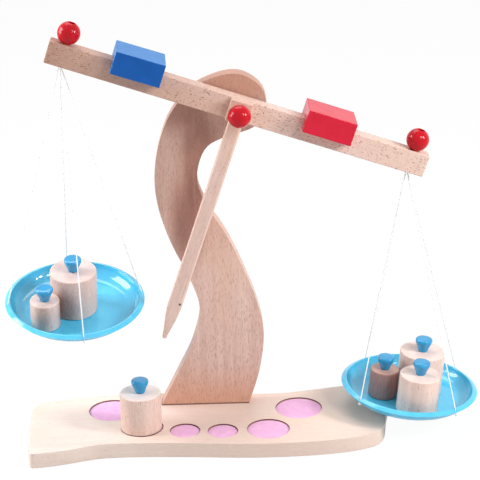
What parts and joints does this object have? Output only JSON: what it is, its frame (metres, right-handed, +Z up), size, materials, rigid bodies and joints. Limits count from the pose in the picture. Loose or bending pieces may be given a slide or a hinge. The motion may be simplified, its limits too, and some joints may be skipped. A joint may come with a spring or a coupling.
{
  "type": "toy balance scale",
  "caption": "Wooden toy balance scale: wavy base board, curved column, tilting beam with sliding riders, string-hung pans, a pointer and turned weights.",
  "frame": {"origin": "on the underside of the base board, straight below the pivot of the beam", "axes": "+X runs right along the base board, +Y away from the front, +Z up"},
  "size_m": [0.4361, 0.1482, 0.3889],
  "materials": {
    "base_wood": "satin clear lacquer",
    "column_wood": "satin clear lacquer",
    "natural_wood": "satin clear lacquer",
    "weight_wood": "smooth sanded",
    "dowel_wood": "smooth sanded",
    "red_paint": "gloss red lacquer",
    "rider_red": "satin red paint",
    "rider_blue": "satin blue paint",
    "knob_blue": "gloss sky blue lacquer",
    "pan_plastic": "gloss",
    "washer_plastic": "matte",
    "white_string": "matte",
    "pink_felt": "matte",
    "screw_steel": "plain"
  },
  "bodies": {
    "stand": {"base_board": "base_wood", "column": "column_wood", "column_screws": "screw_steel", "felt_large_left": "pink_felt", "felt_large_right": "pink_felt", "felt_medium_left": "pink_felt", "felt_medium_right": "pink_felt", "felt_small_left": "pink_felt", "felt_small_right": "pink_felt", "pivot_dowel": "dowel_wood", "pivot_washer": "washer_plastic", "pivot_knob": "red_paint"},
    "beam": {"beam_bar": "natural_wood", "pointer_block": "natural_wood", "pointer": "natural_wood", "left_bead": "red_paint", "right_bead": "red_paint", "left_bead_knot": "white_string", "right_bead_knot": "white_string", "left_string_tail": "white_string", "right_string_tail": "white_string"},
    "blue_rider": {"blue_rider": "rider_blue"},
    "red_rider": {"red_rider": "rider_red"},
    "left_pan": {"left_pan": "pan_plastic", "left_pan_strings": "white_string", "left_rim_knots": "white_string"},
    "right_pan": {"right_pan": "pan_plastic", "right_pan_strings": "white_string", "right_rim_knots": "white_string"},
    "left_large": {"left_large_weight": "weight_wood", "left_large_knob": "knob_blue"},
    "left_small": {"left_small_weight": "weight_wood", "left_small_knob": "knob_blue"},
    "right_large": {"right_large_weight": "weight_wood", "right_large_knob": "knob_blue"},
    "right_medium": {"right_medium_weight": "weight_wood", "right_medium_knob": "knob_blue"},
    "right_small": {"right_small_weight": "weight_wood", "right_small_knob": "knob_blue"},
    "stored_medium": {"stored_medium_weight": "weight_wood", "stored_medium_knob": "knob_blue"}
  },
  "joints": [
    {"name": "beam_tilt", "type": "hinge", "parent": "stand", "child": "beam", "pos_m": [0, 0, 0.3082], "axis": [0, 1, 0], "range_deg": [-20, 0]},
    {"name": "left_pan_swing", "type": "hinge", "parent": "beam", "child": "left_pan", "pos_m": [-0.15511, 0, 0.35065], "axis": [0, 1, 0], "range_deg": [0, 20]},
    {"name": "right_pan_swing", "type": "hinge", "parent": "beam", "child": "right_pan", "pos_m": [0.14864, 0, 0.24683], "axis": [0, 1, 0], "range_deg": [0, 20]},
    {"name": "blue_rider_slide", "type": "slide", "parent": "beam", "child": "blue_rider", "axis": [0.9463, 0, -0.3234], "range_m": [-0.03, 0.014]},
    {"name": "red_rider_slide", "type": "slide", "parent": "beam", "child": "red_rider", "axis": [0.9463, 0, -0.3234], "range_m": [-0.028, 0.047]},
    {"name": "stored_medium_lift", "type": "slide", "parent": "stand", "child": "stored_medium", "axis": [0, 0, 1], "range_m": [0, 0.055]},
    {"name": "left_large_lift", "type": "slide", "parent": "left_pan", "child": "left_large", "axis": [-0.5611, 0.4258, 0.7098], "range_m": [0, 0.112]},
    {"name": "left_small_lift", "type": "slide", "parent": "left_pan", "child": "left_small", "axis": [0.2765, -0.685, 0.674], "range_m": [0, 0.096]},
    {"name": "right_large_lift", "type": "slide", "parent": "right_pan", "child": "right_large", "axis": [-0.207, 0.6718, 0.7112], "range_m": [0, 0.108]},
    {"name": "right_medium_lift", "type": "slide", "parent": "right_pan", "child": "right_medium", "axis": [-0.2312, -0.4218, 0.8767], "range_m": [0, 0.11]},
    {"name": "right_small_lift", "type": "slide", "parent": "right_pan", "child": "right_small", "axis": [-0.5993, 0.0332, 0.7999], "range_m": [0, 0.086]}
  ],
  "couplings": [
    {"joint": "left_pan_swing", "follows": "beam_tilt", "ratio": -1},
    {"joint": "right_pan_swing", "follows": "beam_tilt", "ratio": -1}
  ]
}
